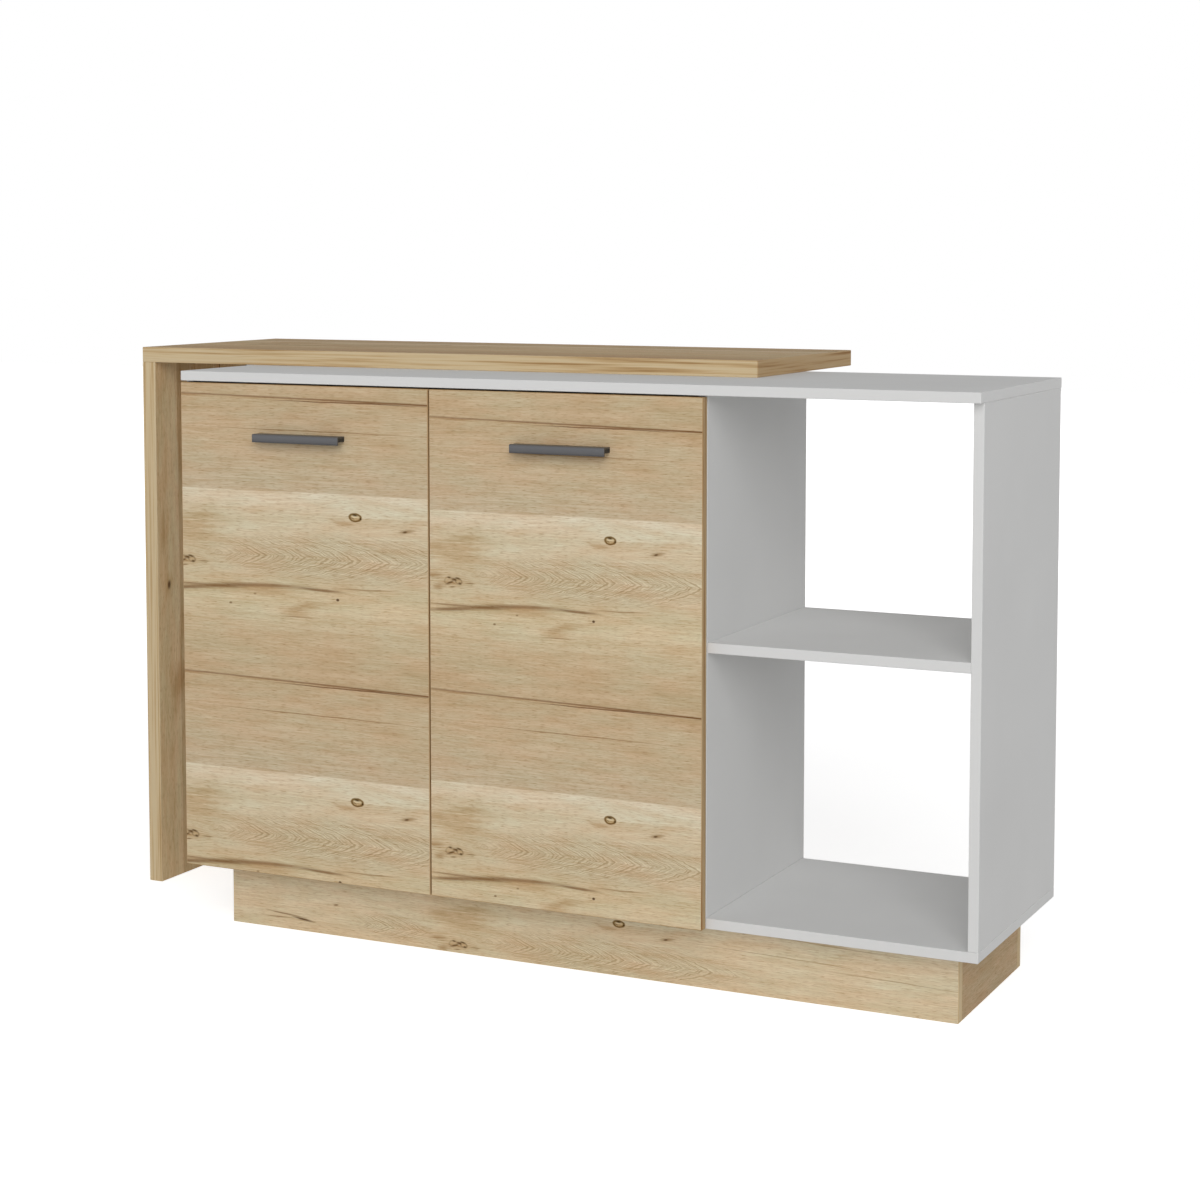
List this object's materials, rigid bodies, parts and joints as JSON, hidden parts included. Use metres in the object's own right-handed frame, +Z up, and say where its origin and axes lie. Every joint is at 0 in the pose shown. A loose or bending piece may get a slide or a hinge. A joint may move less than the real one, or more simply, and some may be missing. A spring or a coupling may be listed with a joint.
{
  "type": "kitchen island",
  "caption": "Two-tone kitchen island: a two-door cupboard beside an open shelved bay on a plinth, with an oak bar laid over its back half and ending in a leg.",
  "frame": {"origin": "on the floor, under the middle of the overall box (bar, handles and all)", "axes": "+X to the right seen from the doors, +Y to the back, +Z up"},
  "size_m": [1.5, 0.623, 0.9],
  "materials": {
    "white_melamine": "white melamine-faced board, fine matt texture",
    "oak_decor": "light oak decor with planks and knots, matt",
    "white_hardboard": "white lacquered hardboard",
    "handle_metal": "dark grey powder coat",
    "hinge_steel": "nickel plated",
    "zinc_steel": "zinc plated",
    "bumper_rubber": "clear soft rubber",
    "block_plastic": "white moulded plastic"
  },
  "bodies": {
    "carcass": {"back_panel": "white_hardboard", "bar_leg": "oak_decor", "bar_screw_1": "zinc_steel", "bar_screw_2": "zinc_steel", "bar_screw_3": "zinc_steel", "bar_screw_4": "zinc_steel", "bar_top": "oak_decor", "bay_shelf": "white_melamine", "bottom_panel": "white_melamine", "cupboard_shelf": "white_melamine", "divider": "white_melamine", "hinge_arm_left_lower": "hinge_steel", "hinge_arm_left_upper": "hinge_steel", "hinge_arm_right_lower": "hinge_steel", "hinge_arm_right_upper": "hinge_steel", "hinge_plate_left_lower": "hinge_steel", "hinge_plate_left_upper": "hinge_steel", "hinge_plate_right_lower": "hinge_steel", "hinge_plate_right_upper": "hinge_steel", "leg_bracket_back": "zinc_steel", "leg_bracket_front": "zinc_steel", "plinth_back": "oak_decor", "plinth_block_back_left": "block_plastic", "plinth_block_back_right": "block_plastic", "plinth_block_front_left": "block_plastic", "plinth_block_front_right": "block_plastic", "plinth_front": "oak_decor", "plinth_left": "oak_decor", "plinth_rail": "oak_decor", "plinth_right": "oak_decor", "shelf_pin_left_back": "hinge_steel", "shelf_pin_left_front": "hinge_steel", "shelf_pin_right_back": "hinge_steel", "shelf_pin_right_front": "hinge_steel", "side_left": "white_melamine", "side_right": "white_melamine", "white_top": "white_melamine"},
    "door_left": {"door_bumper_left": "bumper_rubber", "door_left": "oak_decor", "handle_left": "handle_metal", "handle_screw_left_a": "zinc_steel", "handle_screw_left_b": "zinc_steel", "hinge_cup_left_lower": "hinge_steel", "hinge_cup_left_upper": "hinge_steel"},
    "door_right": {"door_bumper_right": "bumper_rubber", "door_right": "oak_decor", "handle_right": "handle_metal", "handle_screw_right_a": "zinc_steel", "handle_screw_right_b": "zinc_steel", "hinge_cup_right_lower": "hinge_steel", "hinge_cup_right_upper": "hinge_steel"},
    "link_left_lower": {"hinge_link_left_lower": "hinge_steel"},
    "link_left_upper": {"hinge_link_left_upper": "hinge_steel"},
    "link_right_lower": {"hinge_link_right_lower": "hinge_steel"},
    "link_right_upper": {"hinge_link_right_upper": "hinge_steel"}
  },
  "joints": [
    {"name": "left_upper_link_swing", "type": "hinge", "parent": "carcass", "child": "link_left_upper", "pos_m": [-0.498, -0.2825, 0.7625], "axis": [0, 0, 1], "range_deg": [0, 40]},
    {"name": "left_lower_link_swing", "type": "hinge", "parent": "carcass", "child": "link_left_lower", "pos_m": [-0.498, -0.2825, 0.195], "axis": [0, 0, 1], "range_deg": [0, 40]},
    {"name": "left_door_swing", "type": "hinge", "parent": "link_left_upper", "child": "door_left", "pos_m": [-0.519, -0.2785, 0.7625], "axis": [0, 0, -1], "range_deg": [0, 135]},
    {"name": "right_upper_link_swing", "type": "hinge", "parent": "carcass", "child": "link_right_upper", "pos_m": [0.318, -0.2825, 0.7625], "axis": [0, 0, -1], "range_deg": [0, 40]},
    {"name": "right_lower_link_swing", "type": "hinge", "parent": "carcass", "child": "link_right_lower", "pos_m": [0.318, -0.2825, 0.195], "axis": [0, 0, -1], "range_deg": [0, 40]},
    {"name": "right_door_swing", "type": "hinge", "parent": "link_right_upper", "child": "door_right", "pos_m": [0.339, -0.2785, 0.7625], "axis": [0, 0, 1], "range_deg": [0, 135]}
  ],
  "couplings": [
    {"joint": "left_upper_link_swing", "follows": "left_door_swing", "ratio": 0.2963},
    {"joint": "left_lower_link_swing", "follows": "left_door_swing", "ratio": 0.2963},
    {"joint": "right_upper_link_swing", "follows": "right_door_swing", "ratio": 0.2963},
    {"joint": "right_lower_link_swing", "follows": "right_door_swing", "ratio": 0.2963}
  ]
}
